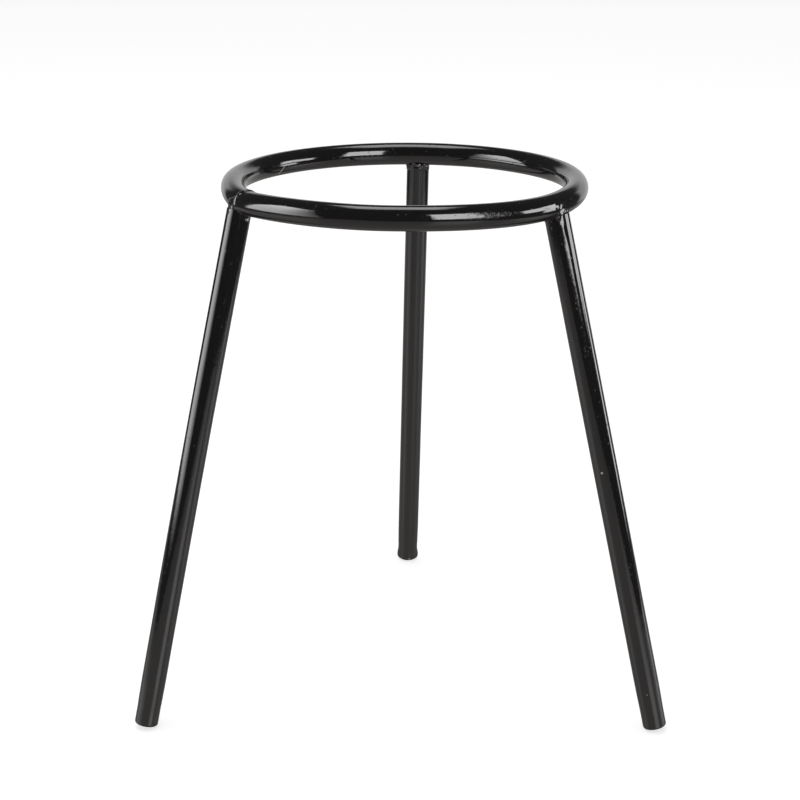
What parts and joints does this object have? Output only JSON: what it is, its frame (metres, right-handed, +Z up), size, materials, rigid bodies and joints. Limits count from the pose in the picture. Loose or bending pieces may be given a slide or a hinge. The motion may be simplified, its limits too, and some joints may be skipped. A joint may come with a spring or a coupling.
{
  "type": "laboratory tripod stand",
  "caption": "Black enamelled laboratory tripod stand: a level ring of round steel bar welded on splayed bar legs, to hold a flask, dish or gauze above a burner.",
  "frame": {"origin": "on the bench, under the middle of the stand's own box", "axes": "+Z up, out of the bench; +Y towards the back leg; +X to the right, from the left leg to the right leg"},
  "size_m": [0.1458, 0.1324, 0.1467],
  "materials": {
    "ring_enamel": "high gloss black enamel over bent steel bar",
    "leg_enamel": "gloss black enamel over drawn steel bar",
    "weld_enamel": "gloss black enamel over rough weld metal"
  },
  "bodies": {
    "root": {"ring": "ring_enamel", "ring_seam_weld": "weld_enamel", "leg_left": "leg_enamel", "leg_right": "leg_enamel", "leg_back": "leg_enamel", "weld_left_outer": "weld_enamel", "weld_left_inner": "weld_enamel", "weld_right_outer": "weld_enamel", "weld_right_inner": "weld_enamel", "weld_back_outer": "weld_enamel", "weld_back_inner": "weld_enamel"}
  },
  "joints": []
}
